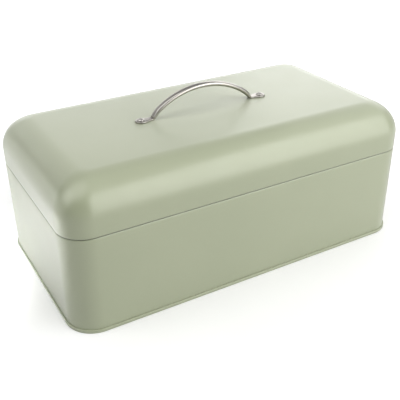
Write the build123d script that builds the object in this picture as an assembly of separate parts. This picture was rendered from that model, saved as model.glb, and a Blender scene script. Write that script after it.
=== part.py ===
from build123d import *
from math import asin, cos, degrees, pi, sin
import os

# Lift-off-lid bread bin in powder-coated sheet steel, modelled closed and standing on its bottom seam.
# Millimetres. X runs along the long side, -Y is the front, +Z is up, origin at the middle of the base.

# --- outline -----------------------------------------------------------------
length = 420.0  # plan size of the straight walls
width = 227.0
corner_radius = 30.0  # plan radius of the wall's upright corners
lid_line = 111.0  # height of the lid's edge
lid_top = 164.0  # height of the lid's flat top

# --- sheet -------------------------------------------------------------------
sheet = 0.5  # thickness of the base's sheet
lid_sheet = 0.6  # thickness of the lid's sheet
play = 0.05  # gap between two pressed layers
layer = sheet + play  # pitch of pressed layers

# --- mouth of the base, which the lid drops over ------------------------------
shoulder_radius = 1.8  # centreline radius of the bend at the top of the wall
neck_inset = 2.4  # outer face of the neck, in from the wall's outer face
neck_height = 11.0  # top of the mouth above the lid line
neck_root_radius = 0.5
curl_radius = 1.35  # centreline radius of the rolled edge
curl_turn = 300.0  # degrees the edge is rolled

# --- double seam along the bottom --------------------------------------------
seam_height = 3.8
hook_drop = 1.1  # top of the wall's hook, down from the top of the seam
pan_depth = 5.0  # height of the pan's floor above the table
pan_bend = 1.5  # bend between the pan's upright and its floor
step_inset = 24.0  # where the middle of the floor steps up
step_height = 1.2
step_run = 3.0
step_lip = 1.0  # swept floor beyond the step, which the middle panel joins

# --- overlap where the wall's two ends are welded, at the back ----------------
lap_width = 8.0
lap_thickness = 0.35
lap_margin = 1.5  # bare wall left above and below the overlap

# --- lid ---------------------------------------------------------------------
edge_radius = 36.0  # rounding between the lid's side and its top
top_corner_radius = 9.0  # plan radius of the flat top's corners
dome_levels = 9
hem_height = 6.0
lid_clearance = 0.2  # from the lid's edge down to the top of the shoulder

# --- handle ------------------------------------------------------------------
handle_half_span = 61.5  # middle to where the bow's centreline meets the foot
handle_rise = 25.4  # of the bow's centreline
bow_width = 8.4
bow_thickness = 5.4
foot_thickness = 2.0
foot_radius = 6.5  # round end of each foot
foot_tuck = 1.0  # how far each foot runs in under the bow
rivet_x = 77.5  # middle of the lid to each rivet

# --- rivets and the washers behind them --------------------------------------
shank_radius = 1.9
hole_radius = 1.95
head_radius = 3.9
head_height = 2.3
tail_radius = 3.2
tail_height = 1.4
washer_radius = 6.0
washer_thickness = 1.0

drill_length = 20.0  # cutting tool for the rivet holes, longer than any stack it passes
upwards = (Align.CENTER, Align.CENTER, Align.MIN)
downwards = (Align.CENTER, Align.CENTER, Align.MAX)


def outline(inset=0.0):
    """Closed plan path of the wall, moved in by inset, starting at the middle of the front."""
    x, y = length / 2 - inset, width / 2 - inset
    r = corner_radius - inset
    corners = [(x - r, r - y, -90), (x - r, y - r, 0), (r - x, y - r, 90), (r - x, r - y, 180)]
    edges = [Line((0, -y), (x - r, -y))]
    for centre_x, centre_y, start in corners:
        arc = CenterArc((centre_x, centre_y), r, start, 90)
        if len(edges) > 1:
            edges.append(Line(edges[-1] @ 1, arc @ 0))
        edges.append(arc)
    edges.append(Line(edges[-1] @ 1, (0, -y)))
    return Wire(edges)


def round_the_bin(section):
    """Sweeps a cross-section round the plan. In it, x is inwards from the outline and y is height."""
    plane = Plane(origin=(0, -width / 2, 0), x_dir=(0, 1, 0), z_dir=(1, 0, 0))
    return sweep(plane * section, path=outline())


def pressed(lines):
    """Cross-section of the base's sheet along a centreline."""
    return make_face(offset(Wire(lines), amount=sheet / 2, side=Side.BOTH, closed=True).edges())


def wall_section():
    """The wall from its bottom hook, up over the shoulder and neck, to the rolled edge."""
    wall_x = sheet / 2
    hook_x = wall_x - 2 * layer
    hook_bottom = sheet / 2 + layer
    shoulder_z = lid_line - lid_clearance - sheet / 2
    bend_z = shoulder_z - shoulder_radius
    neck_x = neck_inset + sheet / 2
    root_x = neck_x - neck_root_radius
    curl_z = lid_line + neck_height - curl_radius - sheet / 2

    hook = Line((hook_x, seam_height - hook_drop), (hook_x, hook_bottom + layer))
    turn = CenterArc((hook_x + layer, hook_bottom + layer), layer, 180, 180)
    wall = Line(turn @ 1, (wall_x, bend_z))
    shoulder = CenterArc((wall_x + shoulder_radius, bend_z), shoulder_radius, 180, -90)
    ledge = Line(shoulder @ 1, (root_x, shoulder_z))
    root = CenterArc((root_x, shoulder_z + neck_root_radius), neck_root_radius, -90, 90)
    neck = Line(root @ 1, (neck_x, curl_z))
    curl = CenterArc((neck_x + curl_radius, curl_z), curl_radius, 180, -curl_turn)
    return pressed([hook, turn, wall, shoulder, ledge, root, neck, curl])


def make_body_wall():
    low = seam_height + lap_margin
    high = lid_line - shoulder_radius - lap_margin
    lap = Box(lap_width, lap_thickness, high - low, align=(Align.CENTER, Align.MIN, Align.MIN))
    return round_the_bin(wall_section()) + Pos(0, width / 2, low) * lap


def pan_section():
    """The pan's rim: floor, step, upright, and the channel that grips the wall's hook."""
    inner_x = sheet / 2 + layer
    tuck_x = sheet / 2 - layer
    outer_x = sheet / 2 - 3 * layer
    low = sheet / 2
    fold_z = seam_height - sheet / 2 - layer
    floor_z = pan_depth + sheet / 2
    tuck_bottom = low + 2 * layer + sheet / 2 + play
    step_x = step_inset + step_run
    step_z = floor_z + step_height

    lip = Line((step_x + step_lip, step_z), (step_x, step_z))
    step = Line(lip @ 1, (step_inset, floor_z))
    floor = Line(step @ 1, (inner_x + pan_bend, floor_z))
    bend = CenterArc((inner_x + pan_bend, floor_z - pan_bend), pan_bend, 90, 90)
    upright = Line(bend @ 1, (inner_x, low + layer))
    inner_turn = CenterArc((inner_x - layer, low + layer), layer, 0, -90)
    bottom = Line(inner_turn @ 1, (outer_x + layer, low))
    outer_turn = CenterArc((outer_x + layer, low + layer), layer, -90, -90)
    leg = Line(outer_turn @ 1, (outer_x, fold_z))
    fold = CenterArc((outer_x + layer, fold_z), layer, 180, -180)
    tuck = Line(fold @ 1, (tuck_x, tuck_bottom))
    return pressed([lip, step, floor, bend, upright, inner_turn, bottom, outer_turn, leg, fold, tuck])


def make_base_pan():
    inset = step_inset + step_run
    panel = RectangleRounded(length - 2 * inset, width - 2 * inset, corner_radius - inset)
    return round_the_bin(pan_section()) + Pos(0, 0, pan_depth + step_height) * extrude(panel, sheet)


def dome_level(angle, skin):
    """Plan face of the dome at an angle round its rounded edge, this far inside the outer skin."""
    share = 1 - cos(angle)
    inset = skin + (edge_radius - skin) * share
    radius = corner_radius + (top_corner_radius - corner_radius) * share - skin * cos(angle)
    z = lid_top - edge_radius + (edge_radius - skin) * sin(angle)
    return Pos(0, 0, z) * RectangleRounded(length - 2 * inset, width - 2 * inset, radius)


def dome(skin):
    return loft([dome_level(pi / 2 * level / (dome_levels - 1), skin) for level in range(dome_levels)])


def skirt_section():
    """Straight part of the lid's side, hemmed inwards along its edge."""
    high = lid_top - edge_radius
    hem_top = lid_line + hem_height
    fold_z = lid_line + lid_sheet
    hem_x = 2 * lid_sheet
    points = [
        (0, fold_z),
        (0, high),
        (lid_sheet, high),
        (lid_sheet, hem_top),
        (hem_x, hem_top),
        (hem_x, fold_z),
    ]
    fold = CenterArc((lid_sheet, fold_z), lid_sheet, 0, -180)
    return make_face(Polyline(*points).edges() + [fold.edge()])


def drill(x, radius, z):
    return Pos(x, 0, z) * Cylinder(radius, drill_length)


def make_lid_shell():
    lid = dome(0.0) - dome(lid_sheet)
    lid += round_the_bin(skirt_section())
    for x in (-rivet_x, rivet_x):
        lid -= drill(x, hole_radius, lid_top)
    return lid


def make_handle():
    """Oval bow with a flattened foot at each end."""
    radius = (handle_half_span**2 + handle_rise**2) / (2 * handle_rise)
    half_angle = degrees(asin(handle_half_span / radius))
    centre_z = lid_top + bow_thickness / 2 + handle_rise - radius
    path = Plane.XZ * CenterArc((0, centre_z), radius, 90 - half_angle, 2 * half_angle)
    section = Plane(origin=path @ 0, x_dir=(0, 1, 0), z_dir=path % 0) * Ellipse(bow_width / 2, bow_thickness / 2)
    handle = sweep(section, path=path)
    handle -= Pos(0, 0, lid_top) * Box(length, width, lid_top, align=downwards)
    foot_run = rivet_x - handle_half_span + foot_tuck
    for side in (-1, 1):
        plan = Circle(foot_radius) + Pos(-side * foot_run / 2, 0) * Rectangle(foot_run, bow_width)
        handle += extrude(Pos(side * rivet_x, 0, lid_top) * plan, foot_thickness)
        handle -= drill(side * rivet_x, hole_radius, lid_top)
    return handle


def cap(radius, height):
    """Shallow dome standing on the XY plane."""
    ball = (radius**2 + height**2) / (2 * height)
    return Pos(0, 0, height - ball) * Sphere(ball) & Cylinder(radius, height, align=upwards)


def make_rivet(x):
    under = lid_top - lid_sheet - washer_thickness
    over = lid_top + foot_thickness
    shank = Pos(x, 0, under) * Cylinder(shank_radius, over - under, align=upwards)
    head = Pos(x, 0, over) * cap(head_radius, head_height)
    tail = Pos(x, 0, under) * (Rot(180, 0, 0) * cap(tail_radius, tail_height))
    return shank + head + tail


def make_washer(x):
    ring = Circle(washer_radius) - Circle(hole_radius)
    return extrude(Pos(x, 0, lid_top - lid_sheet - washer_thickness) * ring, washer_thickness)


parts = {
    "body_wall": make_body_wall(),
    "base_pan": make_base_pan(),
    "lid_shell": make_lid_shell(),
    "handle": make_handle(),
}
for name, x in (("left", -rivet_x), ("right", rivet_x)):
    parts[f"rivet_{name}"] = make_rivet(x)
    parts[f"washer_{name}"] = make_washer(x)

os.makedirs("parts", exist_ok=True)
for name, shape in parts.items():
    shape.label = name
    export_step(shape, f"parts/{name}.step")
    print(name, "volume", round(shape.volume), "valid", shape.is_valid)
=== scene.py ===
"""Looks of a lift-off-lid bread bin, built round its CAD frame. Metres, +Z up, the front faces -Y."""

import math

import bmesh
import bpy
from mathutils import Matrix, Vector


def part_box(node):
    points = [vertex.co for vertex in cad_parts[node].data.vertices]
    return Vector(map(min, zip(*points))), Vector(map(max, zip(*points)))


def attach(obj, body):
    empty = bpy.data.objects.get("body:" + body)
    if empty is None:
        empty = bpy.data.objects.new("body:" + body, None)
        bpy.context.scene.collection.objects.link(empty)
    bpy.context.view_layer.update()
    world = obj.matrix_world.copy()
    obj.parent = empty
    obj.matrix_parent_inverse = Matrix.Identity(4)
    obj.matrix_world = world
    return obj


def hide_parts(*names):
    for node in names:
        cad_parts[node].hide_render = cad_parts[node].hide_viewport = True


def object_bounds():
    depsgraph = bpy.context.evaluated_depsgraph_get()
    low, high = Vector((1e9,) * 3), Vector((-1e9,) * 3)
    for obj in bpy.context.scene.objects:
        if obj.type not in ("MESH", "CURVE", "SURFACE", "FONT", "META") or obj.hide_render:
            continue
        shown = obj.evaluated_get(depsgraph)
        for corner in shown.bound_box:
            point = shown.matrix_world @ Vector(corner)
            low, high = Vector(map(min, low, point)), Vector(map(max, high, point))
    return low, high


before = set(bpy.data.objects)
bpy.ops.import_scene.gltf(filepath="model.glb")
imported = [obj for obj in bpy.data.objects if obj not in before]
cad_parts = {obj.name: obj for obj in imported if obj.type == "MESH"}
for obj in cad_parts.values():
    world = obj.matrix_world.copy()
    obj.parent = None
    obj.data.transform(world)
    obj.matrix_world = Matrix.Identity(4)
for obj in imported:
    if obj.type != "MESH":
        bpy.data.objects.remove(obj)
cad_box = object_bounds()

MM = 0.001

# --- places and sizes that come from the frame --------------------------------
lid_low, lid_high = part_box("lid_shell")
handle_low, handle_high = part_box("handle")
rivet_low, rivet_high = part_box("rivet_right")
washer_low, washer_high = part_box("washer_right")

HALF_LENGTH = lid_high.x
HALF_WIDTH = lid_high.y
LID_LINE = lid_low.z
LID_TOP = lid_high.z
MOUTH_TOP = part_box("body_wall")[1].z
RIVET_X = (rivet_low.x + rivet_high.x) / 2

# --- sheet metal ---------------------------------------------------------------
CORNER_RADIUS = 30 * MM
SHEET = 0.5 * MM
LID_SHEET = 0.6 * MM
LAYER = 0.55 * MM  # from one folded layer to the next
FOLD_RADIUS = 0.98 * LAYER  # a little under the pitch, so that two bends fit side by side
EDGE_RADIUS = 36 * MM
TOP_CORNER_RADIUS = 9 * MM
HEM_HEIGHT = 6 * MM
HEM_BEND = 0.3 * MM
HEM_GAP = 0.02 * MM  # between the hem's upper edge and the skirt behind it
HEM_SLOPE = 0.1 * MM  # rise of that edge towards the skirt
LID_CLEARANCE = 0.2 * MM
SHOULDER_RADIUS = 1.8 * MM
NECK_INSET = 2.4 * MM
NECK_ROOT_RADIUS = 0.5 * MM
CURL_RADIUS = 1.35 * MM
CURL_TURN = math.radians(300)
HOOK_DROP = 1.1 * MM
SEAM_HEIGHT = 3.8 * MM
PAN_DEPTH = 5 * MM
PAN_BEND = 1.5 * MM
STEP_INSET = 24 * MM
STEP_RUN = 3 * MM
STEP_HEIGHT = 1.2 * MM
STEP_BEND = 1.6 * MM
STEP_LIP = 2 * MM
TUCK_CLEARANCE = 0.3 * MM

# --- welded overlap at the back --------------------------------------------------
LAP_HALF_WIDTH = 4 * MM
LAP_THICKNESS = 0.35 * MM
LAP_MARGIN = 1.5 * MM
LAP_SLOW_SIDE = 3 * MM
LAP_SHARP_SIDE = 0.2 * MM

# --- handle --------------------------------------------------------------------
FOOT_RADIUS = (handle_high.y - handle_low.y) / 2
HANDLE_HALF_SPAN = 63.2 * MM
BOW_WIDTH = 8.4 * MM
BOW_THICKNESS = 5.4 * MM
FOOT_THICKNESS = 2 * MM
FOOT_WAIST = 7.4 * MM
HANDLE_BEND = 2 * MM
FLAT_END = 3 * MM  # the bar is fully flat up to here, short of the foot's end
OVAL_START = 14 * MM  # and fully oval from here, past the foot's end
PAD_START = 1.1 * FOOT_RADIUS  # from the tip, where the round pad starts to narrow to the waist
WAIST_START = 1 * MM  # short of the foot's end, where the waist is reached
OVAL_SQUARENESS = 2.3
FLAT_SQUARENESS = 5.0

# --- rivets and washers ----------------------------------------------------------
SHANK_RADIUS = 1.9 * MM
HOLE_RADIUS = 1.95 * MM
TAIL_RADIUS = 3.2 * MM
HEAD_EDGE = 0.35 * MM
TAIL_EDGE = 0.3 * MM
WASHER_EDGE = 0.2 * MM

# --- wear, and painted shade at the lid's joint ----------------------------------
LID_WEAR = 1.5 * MM  # how far the rubbed edge reaches
MOUTH_WEAR = 1.2 * MM
BASE_WEAR = 0.6 * MM
JOINT_SHADE_CORE = 0.3 * MM  # painted shadow line at full strength this far either side of the joint between the lid and the shoulder
JOINT_SHADE_REACH = 0.9 * MM
JOINT_SHADE_SHARE = 0.7

# --- coat and steel --------------------------------------------------------------
SAGE_DARK = (0.419, 0.452, 0.320)
SAGE_LIGHT = (0.445, 0.476, 0.340)
SAGE_SPECK = (0.56, 0.60, 0.44)
RUBBED_TINT = (0.56, 0.59, 0.48)
# colour of the painted shade in the gap between the lid and the shoulder
JOINT_SHADE_TINT = (0.13, 0.14, 0.10)
HANDLE_TINT = (0.56, 0.54, 0.505)
RIVET_TINT = (0.62, 0.60, 0.57)
ZINC_TINT = (0.55, 0.56, 0.57)
PANEL_WAVE = 0.5 * MM  # depth of the broad unevenness of the sheet
ORANGE_PEEL = 0.012 * MM
DRAWN_LINE = 0.01 * MM

# --- studio ----------------------------------------------------------------------
FLOOR_HALF_SIZE = 4.0
FLOOR_DROP = 0.02 * MM  # the floor is this far under the bin
NEAR_GLOW = 0.25
FAR_GLOW = 0.9
GLOW_START = 0.2  # distance from the bin's middle where the glow starts to rise
GLOW_END = 0.9
VIEW_GAMMA = 0.83

# --- camera ----------------------------------------------------------------------
CAMERA_AZIMUTH = -29.62  # degrees, as are the next two
CAMERA_ELEVATION = 29.57
CAMERA_ROLL = -0.57
CAMERA_DISTANCE = 800.7 * MM
CAMERA_AIM = Vector((-4.8, 0, 45.3)) * MM
CAMERA_LENS = 58.86
CAMERA_SENSOR = 36

# --- fineness of the meshes ------------------------------------------------------
WELD_DISTANCE = 0.002 * MM  # vertices nearer than this become one
ON_FACE = 0.01 * MM  # how near a vertex is to the wall's outer face to count as on it
CORNER_STEPS = 20
DOME_STEPS = 26
LATHE_STEPS = 40
SECTION_STEPS = 40
FOLD_STEPS = 8
HEM_STEPS = 3
CURL_STEPS = 26
PAD_STEPS = 16
FOOT_STEPS = 5
BEND_STEPS = 10
BOW_STEPS = 30
CAP_STEPS = 12
SKIRT_CELL = 4 * MM
WALL_CELL = 9 * MM
FILL_SHARES = (0.985, 0.9, 0.75, 0.6, 0.45, 0.3, 0.15)  # of the way from a flat face's middle to its rim

# Where the mesh has a column, as shares of each straight stretch. The lap's edges have their own columns.
LAP_COLUMNS = [x * MM for x in (-4.4, -4, -3.2, -2.4, -1.6, -0.8, 0, 2, 3.5, 3.8, 4, 4.4)]
SHORT_SHARES = [-0.96, -0.6, -0.2, 0.2, 0.6, 0.96]
LONG_SHARES = [-0.98, -0.75, -0.5, -0.25, -0.08, 0.08, 0.25, 0.5, 0.75, 0.98]
BACK_SHARES = sorted(LONG_SHARES + [x / (HALF_LENGTH - CORNER_RADIUS) for x in LAP_COLUMNS])


# === paths and rings =============================================================
def arc(centre, radius, start, turn, steps):
    """Points of an arc in the plane, both ends included. Angles in radians."""
    angles = [start + turn * step / steps for step in range(steps + 1)]
    return [Vector((centre[0] + radius * math.cos(a), centre[1] + radius * math.sin(a))) for a in angles]


def rounded(corners, steps=6):
    """Points of a path through (x, z, radius) corners, each corner rounded by its radius."""
    points = [Vector(corners[0][:2])]
    for before, corner, after in zip(corners, corners[1:], corners[2:]):
        tip, radius = Vector(corner[:2]), corner[2]
        back = (Vector(before[:2]) - tip).normalized()
        on = (Vector(after[:2]) - tip).normalized()
        half = back.angle(on) / 2
        centre = tip + (back + on).normalized() * radius / math.sin(half)
        first = tip + back * radius / math.tan(half) - centre
        turn = math.pi - 2 * half
        if back.cross(on) > 0:
            turn = -turn
        points += arc(centre, radius, math.atan2(first.y, first.x), turn, steps)
    points.append(Vector(corners[-1][:2]))
    return points


def divided(points, longest):
    """The same path with more points, so that no run is longer than this."""
    result = [points[0]]
    for a, b in zip(points, points[1:]):
        pieces = max(1, math.ceil((b - a).length / longest))
        result += [a.lerp(b, piece / pieces) for piece in range(1, pieces + 1)]
    return result


def sides(points, thickness):
    """The two faces of sheet along a centreline: points to its left, and points to its right."""
    left, right = [], []
    for index, point in enumerate(points):
        along = (points[min(index + 1, len(points) - 1)] - points[max(index - 1, 0)]).normalized()
        normal = Vector((-along.y, along.x)) * thickness / 2
        left.append(point + normal)
        right.append(point - normal)
    return left, right


def rounded_end(points, thickness, steps=4):
    """The half-round edge of the sheet at the path's last point, from its left face to its right face."""
    along = (points[-1] - points[-2]).normalized()
    start = math.atan2(along.x, -along.y)
    return arc(points[-1], thickness / 2, start, -math.pi, steps)[1:-1]


def ring(inset, z, radius=None):
    """Points round the bin's plan, moved in by inset. Without a radius, the corners are concentric."""
    radius = CORNER_RADIUS - inset if radius is None else radius
    x, y = HALF_LENGTH - inset, HALF_WIDTH - inset
    points = []
    for quarter, (side_x, side_y) in enumerate(((1, -1), (1, 1), (-1, 1), (-1, -1))):
        centre = (side_x * (x - radius), side_y * (y - radius))
        corner = arc(centre, radius, (quarter - 1) * math.pi / 2, math.pi / 2, CORNER_STEPS)
        points += [(*p, z) for p in corner]
        if quarter == 0:
            points += [(x, share * (y - radius), z) for share in SHORT_SHARES]
        elif quarter == 1:
            points += [(share * (x - radius), y, z) for share in reversed(BACK_SHARES)]
        elif quarter == 2:
            points += [(-x, -share * (y - radius), z) for share in SHORT_SHARES]
        else:
            points += [(share * (x - radius), -y, z) for share in LONG_SHARES]
    return [Vector(p) for p in points]


def rings_of(points):
    """Rings for a cross-section whose x is inwards from the wall's outer face and whose y is height."""
    return [ring(point.x, point.y) for point in points]


def filled(rim):
    """Rings that carry a flat face on from a rim towards its middle, and the middle point."""
    middle = Vector((0, 0, rim[0].z))
    return [[middle.lerp(point, share) for point in rim] for share in FILL_SHARES], middle


# === meshes ======================================================================
def finished_mesh(name, bm, material, body, node):
    """Turns a bmesh into a smooth piece that rides on a body and stands for a CAD node."""
    bmesh.ops.remove_doubles(bm, verts=bm.verts, dist=WELD_DISTANCE)
    bmesh.ops.recalc_face_normals(bm, faces=bm.faces)
    for face in bm.faces:
        face.smooth = True
    mesh = bpy.data.meshes.new(name)
    bm.to_mesh(mesh)
    bm.free()
    piece = bpy.data.objects.new(name, mesh)
    bpy.context.scene.collection.objects.link(piece)
    mesh.materials.append(material)
    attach(piece, body)
    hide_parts(node)


def bridge(bm, rows, loop=False):
    """Faces between each row of vertices and the next. Each row closes on itself."""
    pairs = list(zip(rows, rows[1:]))
    if loop:
        pairs.append((rows[-1], rows[0]))
    for a, b in pairs:
        for i in range(len(a)):
            j = (i + 1) % len(a)
            bm.faces.new((a[i], a[j], b[j], b[i]))


def close_with_point(bm, row, middle):
    """Triangles from a row to its middle point."""
    hub = bm.verts.new(middle)
    for i in range(len(row)):
        bm.faces.new((row[i], row[(i + 1) % len(row)], hub))


def add_rows(bm, rings, worn=()):
    """Rows of vertices, one for each ring. worn has each ring's share of handling wear, if any."""
    layer = bm.verts.layers.float.new("wear")
    rows = []
    for index, points in enumerate(rings):
        row = [bm.verts.new(point) for point in points]
        for vertex in row:
            vertex[layer] = worn[index] if worn else 0.0
        rows.append(row)
    return rows


def wear_near(rings, height, reach):
    """Wear for each ring: 1 at a height, fading to 0 this far from it."""
    return [max(0.0, 1 - abs(points[0].z - height) / reach) for points in rings]


# === the bin's sheet-metal pieces ==================================================
def dome_rings(skin):
    """Rings round the lid's rounded edge, from the flat top down to the straight side."""
    rings = []
    for step in range(DOME_STEPS + 1):
        angle = math.pi / 2 * (1 - step / DOME_STEPS)
        share = 1 - math.cos(angle)
        reach = EDGE_RADIUS - skin
        radius = CORNER_RADIUS + (TOP_CORNER_RADIUS - CORNER_RADIUS) * share - skin * math.cos(angle)
        rings.append(ring(skin + reach * share, LID_TOP - EDGE_RADIUS + reach * math.sin(angle), radius))
    return rings


def make_lid(material):
    """The lid: its outside, its hemmed edge and its inside. The rivets cover its two holes."""
    outer = dome_rings(0.0)
    inner = dome_rings(LID_SHEET)
    fold_z = LID_LINE + LID_SHEET
    skirt = divided([Vector((0, LID_TOP - EDGE_RADIUS)), Vector((0, fold_z))], SKIRT_CELL)[1:-1]
    fold = arc((LID_SHEET, fold_z), LID_SHEET, math.pi, math.pi, FOLD_STEPS)
    hem = rounded([
        (2 * LID_SHEET, fold_z),
        (2 * LID_SHEET, LID_LINE + HEM_HEIGHT, HEM_BEND),
        (LID_SHEET + HEM_GAP, LID_LINE + HEM_HEIGHT + HEM_SLOPE),
    ], HEM_STEPS)[1:]
    above_hem = Vector((LID_SHEET, LID_LINE + HEM_HEIGHT + HEM_BEND))
    inside = divided([above_hem, Vector((LID_SHEET, LID_TOP - EDGE_RADIUS))], SKIRT_CELL)[:-1]
    rings = outer + rings_of(skirt + fold + hem + inside) + inner[::-1]
    top, top_middle = filled(outer[0])
    under, under_middle = filled(inner[0])
    rings = top[::-1] + rings + under
    bm = bmesh.new()
    rows = add_rows(bm, rings, wear_near(rings, LID_LINE, LID_WEAR))
    bridge(bm, rows)
    close_with_point(bm, rows[0], top_middle)
    close_with_point(bm, rows[-1], under_middle)
    finished_mesh("lid", bm, material, "lid", "lid_shell")


def raise_lap(bm):
    """Lifts the wall's outer face over the welded overlap, with one sharp side and one slow side."""
    low = SEAM_HEIGHT + LAP_MARGIN
    high = LID_LINE - SHOULDER_RADIUS - LAP_MARGIN
    for vertex in bm.verts:
        x, y, z = vertex.co
        on_outer_face = abs(y - HALF_WIDTH) < ON_FACE
        if on_outer_face and abs(x) < LAP_HALF_WIDTH and low < z < high:
            rise = min(1.0, (LAP_HALF_WIDTH + x) / LAP_SLOW_SIDE, (LAP_HALF_WIDTH - x) / LAP_SHARP_SIDE)
            vertex.co.y += LAP_THICKNESS * rise


def make_wall(material):
    """The wall, from its bottom hook up over the shoulder and the neck to the rolled edge."""
    wall_x = SHEET / 2
    neck_x = NECK_INSET + SHEET / 2
    hook_x = wall_x - 2 * LAYER
    hook_bottom = SHEET / 2 + LAYER
    shoulder_z = LID_LINE - LID_CLEARANCE - SHEET / 2
    curl_z = MOUTH_TOP - CURL_RADIUS - SHEET / 2
    line = rounded([
        (hook_x, SEAM_HEIGHT - HOOK_DROP),
        (hook_x, hook_bottom, FOLD_RADIUS),
        (wall_x, hook_bottom, FOLD_RADIUS),
        (wall_x, shoulder_z, SHOULDER_RADIUS),
        (neck_x, shoulder_z, NECK_ROOT_RADIUS),
        (neck_x, curl_z),
    ])
    line = divided(line, WALL_CELL)
    line += arc((neck_x + CURL_RADIUS, curl_z), CURL_RADIUS, math.pi, -CURL_TURN, CURL_STEPS)[1:]
    left, right = sides(line, SHEET)
    start = rounded_end(line[::-1], SHEET)
    outline = left + rounded_end(line, SHEET) + right[::-1] + start
    rings = rings_of(outline)
    bm = bmesh.new()
    rows = add_rows(bm, rings, wear_near(rings, MOUTH_TOP, MOUTH_WEAR))
    bridge(bm, rows, loop=True)
    raise_lap(bm)
    finished_mesh("wall", bm, material, "base", "body_wall")


def make_pan(material):
    """The bottom: a stepped floor, an upright, and a channel that grips the wall's hook."""
    inner_x = SHEET / 2 + LAYER
    tuck_x = SHEET / 2 - LAYER
    outer_x = SHEET / 2 - 3 * LAYER
    low = SHEET / 2
    seam_top = SEAM_HEIGHT - SHEET / 2
    floor_z = PAN_DEPTH + SHEET / 2
    step_x = STEP_INSET + STEP_RUN
    line = rounded([
        (step_x + STEP_LIP, floor_z + STEP_HEIGHT),
        (step_x, floor_z + STEP_HEIGHT, STEP_BEND),
        (STEP_INSET, floor_z, STEP_BEND),
        (inner_x, floor_z, PAN_BEND),
        (inner_x, low, LAYER),
        (outer_x, low, LAYER),
        (outer_x, seam_top, FOLD_RADIUS),
        (tuck_x, seam_top, FOLD_RADIUS),
        (tuck_x, low + 2 * LAYER + TUCK_CLEARANCE),
    ])
    left, right = sides(line, SHEET)
    outline = left + rounded_end(line, SHEET) + right[::-1]
    rings = rings_of(outline)
    top, top_middle = filled(rings[0])
    under, under_middle = filled(rings[-1])
    rings = top[::-1] + rings + under
    bm = bmesh.new()
    rows = add_rows(bm, rings, wear_near(rings, 0.0, BASE_WEAR))
    bridge(bm, rows)
    close_with_point(bm, rows[0], top_middle)
    close_with_point(bm, rows[-1], under_middle)
    finished_mesh("pan", bm, material, "base", "base_pan")


# === handle, rivets and washers ====================================================
def handle_line():
    """Stations (x, z, climb) of the handle's underside, left tip to middle, and where its foot ends."""
    seat = handle_low.z
    rise = handle_high.z - BOW_THICKNESS - seat
    radius = (HANDLE_HALF_SPAN**2 + rise**2) / (2 * rise)
    centre_z = seat + rise - radius
    bend_x = math.sqrt((radius + HANDLE_BEND)**2 - (seat + HANDLE_BEND - centre_z)**2)
    steepest = math.asin(bend_x / (radius + HANDLE_BEND))
    tip = handle_low.x
    stations = []
    for step in range(PAD_STEPS + 1):  # the foot's round pad, close together at its tip
        x = tip + 2 * FOOT_RADIUS * (1 - math.cos(math.pi / 2 * step / PAD_STEPS))
        stations.append((x, seat, 0.0))
    pad_end = stations[-1][0]
    for step in range(1, FOOT_STEPS):
        stations.append((pad_end + (-bend_x - pad_end) * step / FOOT_STEPS, seat, 0.0))
    for step in range(BEND_STEPS + 1):
        angle = steepest * step / BEND_STEPS
        x = -bend_x + HANDLE_BEND * math.sin(angle)
        stations.append((x, seat + HANDLE_BEND * (1 - math.cos(angle)), angle))
    for step in range(1, BOW_STEPS + 1):
        angle = steepest * (1 - step / BOW_STEPS)
        stations.append((-radius * math.sin(angle), centre_z + radius * math.cos(angle), angle))
    return stations, -bend_x


def smooth_share(value, low, high):
    """0 below low, 1 above high, and a smooth change between."""
    share = min(1.0, max(0.0, (value - low) / (high - low)))
    return share * share * (3 - 2 * share)


def handle_section(distance, foot_length):
    """Half-width, thickness and flatness of the bar, this far from its tip."""
    flat = 1 - smooth_share(distance, foot_length - FLAT_END, foot_length + OVAL_START)
    pad = 1 - smooth_share(distance, PAD_START, foot_length - WAIST_START)
    round_off = max(0.0, FOOT_RADIUS - distance) / FOOT_RADIUS
    half = FOOT_WAIST / 2
    half += (BOW_WIDTH - FOOT_WAIST) / 2 * (1 - flat)
    half += (FOOT_RADIUS - FOOT_WAIST / 2) * pad
    half *= math.sqrt(max(0.0, 1 - round_off**2))
    thickness = BOW_THICKNESS + (FOOT_THICKNESS - BOW_THICKNESS) * flat
    return half, thickness, flat


def section_points(half, thickness, flat):
    """Cross-section of the bar as (across, up) points: an oval, squared off where the bar is flat."""
    squareness = OVAL_SQUARENESS + (FLAT_SQUARENESS - OVAL_SQUARENESS) * flat
    power = 2 / squareness
    points = []
    for step in range(SECTION_STEPS):
        angle = 2 * math.pi * step / SECTION_STEPS
        across = math.copysign(abs(math.cos(angle)) ** power, math.cos(angle)) * half
        up = math.copysign(abs(math.sin(angle)) ** power, math.sin(angle)) * thickness / 2
        points.append((across, thickness / 2 + up))
    return points


def make_handle(material):
    """The bow with a flattened foot at each end. The rivets cover its two holes."""
    stations, foot_end = handle_line()
    foot_length = foot_end - handle_low.x
    left_half = []
    distance = 0.0
    for (x_before, z_before, _), (x, z, angle) in zip(stations, stations[1:]):
        distance += math.hypot(x - x_before, z - z_before)
        section = section_points(*handle_section(distance, foot_length))
        up = Vector((-math.sin(angle), 0, math.cos(angle)))
        left_half.append([Vector((x, across, z)) + up * rise for across, rise in section])
    right_half = [[Vector((-p.x, p.y, p.z)) for p in row] for row in reversed(left_half[:-1])]
    rings = left_half + right_half
    bm = bmesh.new()
    rows = add_rows(bm, rings)
    bridge(bm, rows)
    tip_height = handle_low.z + FOOT_THICKNESS / 2
    close_with_point(bm, rows[0], Vector((handle_low.x, 0, tip_height)))
    close_with_point(bm, rows[-1], Vector((handle_high.x, 0, tip_height)))
    finished_mesh("bow_handle", bm, material, "lid", "handle")


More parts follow.
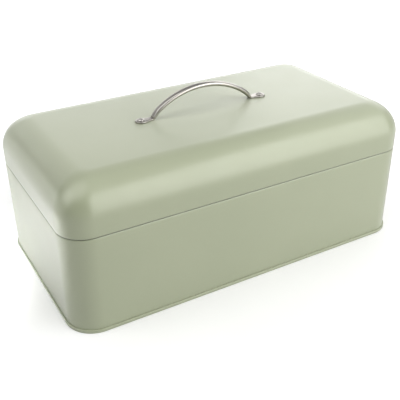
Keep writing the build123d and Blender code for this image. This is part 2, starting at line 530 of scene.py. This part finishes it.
def lathe(name, profile, x, material, node):
    """A turned piece with its axis at x. The (radius, z) profile is a loop, or runs from axis to axis."""
    bm = bmesh.new()
    turn = [2 * math.pi * step / LATHE_STEPS for step in range(LATHE_STEPS)]
    rings = []
    for radius, z in profile:
        rings.append([Vector((x + radius * math.cos(a), radius * math.sin(a), z)) for a in turn])
    closed = profile[0][0] > 0
    rows = add_rows(bm, rings if closed else rings[1:-1])
    bridge(bm, rows, loop=closed)
    if not closed:
        close_with_point(bm, rows[0], Vector((x, 0, profile[0][1])))
        close_with_point(bm, rows[-1], Vector((x, 0, profile[-1][1])))
    finished_mesh(name, bm, material, "lid", node)


def cap_profile(radius, base, top, edge):
    """A shallow dome with a rounded rim as (radius, z) points, from its middle out to its rim."""
    height = abs(top - base) - edge
    way = 1 if top > base else -1
    ball = (radius**2 + height**2) / (2 * height)
    reach = math.asin(radius / ball)
    points = [(0.0, top)]
    for step in range(1, CAP_STEPS + 1):
        angle = reach * step / CAP_STEPS
        points.append((ball * math.sin(angle), top - way * ball * (1 - math.cos(angle))))
    points.append((radius, base + way * edge * 0.5))
    points.append((radius - edge * 0.3, base))
    return points


def make_rivet(side, name, material):
    """One rivet: domed head, shank and flatter tail."""
    x = side * RIVET_X
    head_radius = (rivet_high.x - rivet_low.x) / 2
    over = handle_low.z + FOOT_THICKNESS
    under = washer_low.z
    profile = cap_profile(head_radius, over, rivet_high.z, HEAD_EDGE)
    profile += [(SHANK_RADIUS, over), (SHANK_RADIUS, under)]
    profile += reversed(cap_profile(TAIL_RADIUS, under, rivet_low.z, TAIL_EDGE))
    lathe(f"{name}_rivet", profile, x, material, f"rivet_{name}")


def make_washer(side, name, material):
    """One washer, with its edges broken."""
    x = side * RIVET_X
    outer = (washer_high.x - washer_low.x) / 2
    low, high = washer_low.z, washer_high.z
    edge = WASHER_EDGE
    profile = [
        (HOLE_RADIUS, low + edge), (HOLE_RADIUS + edge, low), (outer - edge, low), (outer, low + edge),
        (outer, high - edge), (outer - edge, high), (HOLE_RADIUS + edge, high), (HOLE_RADIUS, high - edge),
    ]
    lathe(f"{name}_washer", profile, x, material, f"washer_{name}")


# === materials ===================================================================
class Nodes:
    """Short calls for building one material's node tree."""

    def __init__(self, name):
        self.material = bpy.data.materials.new(name)
        self.material.use_nodes = True
        self.tree = self.material.node_tree
        self.shader = self.tree.nodes["Principled BSDF"]
        self.place = self.node("ShaderNodeTexCoord").outputs["Object"]

    def node(self, kind, **settings):
        node = self.tree.nodes.new(kind)
        for key, value in settings.items():
            setattr(node, key, value)
        return node

    def join(self, source, target):
        self.tree.links.new(source, target)

    def noise(self, scale, detail=2.0, roughness=0.5, stretch=None):
        """Noise in the bin's own place. stretch makes it finer along each axis by its own number."""
        node = self.node("ShaderNodeTexNoise")
        node.inputs["Scale"].default_value = scale
        node.inputs["Detail"].default_value = detail
        node.inputs["Roughness"].default_value = roughness
        place = self.place
        if stretch:
            mapping = self.node("ShaderNodeMapping")
            mapping.inputs["Scale"].default_value = stretch
            self.join(place, mapping.inputs["Vector"])
            place = mapping.outputs["Vector"]
        self.join(place, node.inputs["Vector"])
        return node.outputs["Fac"]

    def range(self, value, low, high, from_low=0.3, from_high=0.7):
        """Carries a value over from one range to another, and holds it at both ends."""
        node = self.node("ShaderNodeMapRange")
        node.inputs["From Min"].default_value = from_low
        node.inputs["From Max"].default_value = from_high
        node.inputs["To Min"].default_value = low
        node.inputs["To Max"].default_value = high
        self.join(value, node.inputs["Value"])
        return node.outputs["Result"]

    def maths(self, operation, a, b=0.0):
        """One operation on two values, each a number or an output."""
        node = self.node("ShaderNodeMath", operation=operation)
        for socket, value in zip(node.inputs, (a, b)):
            if isinstance(value, (int, float)):
                socket.default_value = value
            else:
                self.join(value, socket)
        return node.outputs[0]

    def mix(self, factor, a, b):
        """A colour from a at factor 0 to b at factor 1, each a colour or an output."""
        node = self.node("ShaderNodeMix", data_type="RGBA")
        self.join(factor, node.inputs["Factor"])
        for name, value in (("A", a), ("B", b)):
            sockets = [s for s in node.inputs if s.name == name and s.type == "RGBA"]
            if isinstance(value, tuple):
                sockets[0].default_value = (*value, 1)
            else:
                self.join(value, sockets[0])
        return [s for s in node.outputs if s.type == "RGBA"][0]

    def bump(self, height, distance, strength=1.0, under=None):
        """The surface's direction over small heights, on top of another bump if there is one under it."""
        node = self.node("ShaderNodeBump")
        node.inputs["Distance"].default_value = distance
        node.inputs["Strength"].default_value = strength
        self.join(height, node.inputs["Height"])
        if under is not None:
            self.join(under, node.inputs["Normal"])
        return node.outputs["Normal"]


def powder_coat():
    """Satin sage-green coat: fine orange peel, faint clouds, rubbed edges, and a painted shadow line at the
    lid's joint.
    """
    n = Nodes("sage_powder_coat")
    cloud = n.noise(7, 3)
    grain = n.noise(2400, 2)
    tint = n.mix(n.range(cloud, 0, 1), SAGE_DARK, SAGE_LIGHT)
    tint = n.mix(n.range(grain, 0, 0.16), tint, SAGE_SPECK)
    wear = n.node("ShaderNodeAttribute", attribute_name="wear").outputs["Fac"]
    scuffs = n.range(n.noise(420, 4, 0.65), 0, 1, 0.5, 0.64)
    rubbed = n.maths("MULTIPLY", wear, scuffs)
    tint = n.mix(n.maths("MULTIPLY", rubbed, 0.35), tint, RUBBED_TINT)
    axes = n.node("ShaderNodeSeparateXYZ")
    n.join(n.place, axes.inputs["Vector"])
    # Painted shade: a dark band where the lid meets the shoulder, standing in for the shadow in the gap.
    from_joint = n.maths("SUBTRACT", axes.outputs["Z"], LID_LINE - LID_CLEARANCE)
    joint_shade = n.range(n.maths("ABSOLUTE", from_joint), JOINT_SHADE_SHARE, 0, JOINT_SHADE_CORE, JOINT_SHADE_REACH)
    tint = n.mix(joint_shade, tint, JOINT_SHADE_TINT)
    n.join(tint, n.shader.inputs["Base Color"])
    gloss = n.range(n.noise(30, 3), 0.31, 0.37)
    gloss = n.maths("SUBTRACT", gloss, n.maths("MULTIPLY", rubbed, 0.08))
    n.join(gloss, n.shader.inputs["Roughness"])
    n.shader.inputs["Specular IOR Level"].default_value = 1.0
    n.shader.inputs["Sheen Weight"].default_value = 1.0
    n.shader.inputs["Sheen Roughness"].default_value = 0.4
    panel = n.bump(n.noise(11, 1), PANEL_WAVE, 0.5)
    peel = n.bump(n.noise(750, 1.5), ORANGE_PEEL, 1.0, panel)
    n.join(peel, n.shader.inputs["Normal"])
    return n.material


def satin_steel(name, colour, rough, stretch):
    """Steel with fine drawn lines. stretch is large across the lines and small along them."""
    n = Nodes(name)
    lines = n.noise(1.0, 4, 0.6, stretch)
    patches = n.noise(60, 3)
    darker = tuple(channel * 0.82 for channel in colour)
    tint = n.mix(n.range(lines, 0, 1), darker, colour)
    n.join(tint, n.shader.inputs["Base Color"])
    n.shader.inputs["Metallic"].default_value = 1.0
    patchy = n.range(patches, rough - 0.02, rough + 0.03)
    n.join(n.maths("ADD", n.range(lines, -0.04, 0.05), patchy), n.shader.inputs["Roughness"])
    n.join(n.bump(lines, DRAWN_LINE, 0.6), n.shader.inputs["Normal"])
    return n.material


def floor_material():
    """Pale floor. Only the camera sees its glow, which grows away from the bin to keep the floor white."""
    n = Nodes("pale_floor")
    tint = n.mix(n.range(n.noise(3, 3), 0, 1), (0.74, 0.74, 0.74), (0.76, 0.76, 0.755))
    n.join(tint, n.shader.inputs["Base Color"])
    n.join(n.range(n.noise(40, 3), 0.6, 0.7), n.shader.inputs["Roughness"])
    reach = n.node("ShaderNodeVectorMath", operation="LENGTH")
    n.join(n.place, reach.inputs[0])
    n.shader.inputs["Emission Color"].default_value = (1, 1, 1, 1)
    glow = n.range(reach.outputs["Value"], NEAR_GLOW, FAR_GLOW, GLOW_START, GLOW_END)
    seen = n.node("ShaderNodeLightPath").outputs["Is Camera Ray"]
    n.join(n.maths("MULTIPLY", glow, seen), n.shader.inputs["Emission Strength"])
    return n.material


# === stage =======================================================================
def make_floor():
    bm = bmesh.new()
    bmesh.ops.create_grid(bm, x_segments=4, y_segments=4, size=FLOOR_HALF_SIZE)
    mesh = bpy.data.meshes.new("floor")
    bm.to_mesh(mesh)
    bm.free()
    floor = bpy.data.objects.new("floor", mesh)
    bpy.context.scene.collection.objects.link(floor)
    floor.location.z = cad_box[0].z - FLOOR_DROP
    mesh.materials.append(floor_material())


def towards(azimuth, elevation):
    """Direction from the bin: azimuth 0 is in front of it, 90 is to its right. Degrees."""
    a, e = math.radians(azimuth), math.radians(elevation)
    return Vector((math.sin(a) * math.cos(e), -math.cos(a) * math.cos(e), math.sin(e)))


def area_lamp(name, power):
    """An area light that the camera doesn't see. Returns the lamp and its light."""
    light = bpy.data.lights.new(name, "AREA")
    light.energy = power
    lamp = bpy.data.objects.new(name, light)
    bpy.context.scene.collection.objects.link(lamp)
    lamp.visible_camera = False
    return lamp, light


def softbox(name, azimuth, elevation, distance, width, height, power):
    """A rectangular lamp that faces the bin."""
    lamp, light = area_lamp(name, power)
    light.shape = "RECTANGLE"
    light.size, light.size_y = width, height
    direction = towards(azimuth, elevation)
    aim = Vector((0, 0, LID_TOP / 2))
    turn = direction.to_track_quat("Z", "Y").to_matrix().to_4x4()
    lamp.matrix_world = Matrix.Translation(aim + direction * distance) @ turn


def floor_wash(name, azimuth, distance, height, size, spread, power):
    """A small lamp near the floor that shines straight down, beside the bin."""
    lamp, light = area_lamp(name, power)
    light.size = size
    light.spread = math.radians(spread)
    lamp.location = towards(azimuth, 0) * distance + Vector((0, 0, height))


def make_world():
    """A white studio that only the camera sees: the lamps alone light the bin."""
    world = bpy.data.worlds.new("studio")
    world.use_nodes = True
    tree = world.node_tree
    background = tree.nodes["Background"]
    background.inputs["Color"].default_value = (1, 1, 1, 1)
    seen = tree.nodes.new("ShaderNodeLightPath").outputs["Is Camera Ray"]
    tree.links.new(seen, background.inputs["Strength"])
    bpy.context.scene.world = world


def make_camera():
    """Looks down on the bin's near left corner, a little rolled."""
    data = bpy.data.cameras.new("camera")
    data.sensor_width = CAMERA_SENSOR
    data.lens = CAMERA_LENS
    data.clip_start = 0.05
    camera = bpy.data.objects.new("camera", data)
    bpy.context.scene.collection.objects.link(camera)
    back = towards(CAMERA_AZIMUTH, CAMERA_ELEVATION)
    roll = Matrix.Rotation(math.radians(CAMERA_ROLL), 3, "Z")
    turn = back.to_track_quat("Z", "Y").to_matrix() @ roll
    camera.matrix_world = Matrix.Translation(CAMERA_AIM + back * CAMERA_DISTANCE) @ turn.to_4x4()
    bpy.context.scene.camera = camera


# === the scene ===================================================================
coat = powder_coat()
steel = satin_steel("handle_satin_steel", HANDLE_TINT, 0.3, (25, 900, 25))
bright = satin_steel("rivet_bright_steel", RIVET_TINT, 0.32, (300, 300, 300))
zinc = satin_steel("washer_zinc", ZINC_TINT, 0.34, (700, 40, 40))
make_lid(coat)
make_wall(coat)
make_pan(coat)
make_handle(steel)
for side, name in ((-1, "left"), (1, "right")):
    make_rivet(side, name, bright)
    make_washer(side, name, zinc)

make_floor()
make_world()
# azimuth, elevation, distance, width, height, power
softbox("front_right_softbox", 30, 22, 2.0, 1.8, 2.4, 40)
softbox("right_softbox", 78, 42, 2.0, 1.8, 1.2, 7)
softbox("top_softbox", 0, 88, 2.0, 2.4, 2.4, 10)
softbox("high_left_softbox", -80, 68, 2.0, 1.6, 1.4, 9)
softbox("left_softbox", -95, 38, 2.0, 1.4, 1.2, 11)
softbox("low_left_softbox", -120, 5, 2.0, 2.0, 0.4, 5)
softbox("back_softbox", -178, 33, 2.2, 3.0, 1.5, 7)
softbox("back_right_softbox", 125, 24, 2.0, 1.4, 1.2, 7)
softbox("low_back_softbox", 164, 12, 2.2, 3.4, 0.8, 14)
# azimuth, distance, height, size, spread, power
floor_wash("left_floor_wash", -104, 0.38, 0.22, 0.15, 60, 0.85)
make_camera()
bpy.context.scene.view_settings.view_transform = "Standard"
bpy.context.scene.view_settings.gamma = VIEW_GAMMA
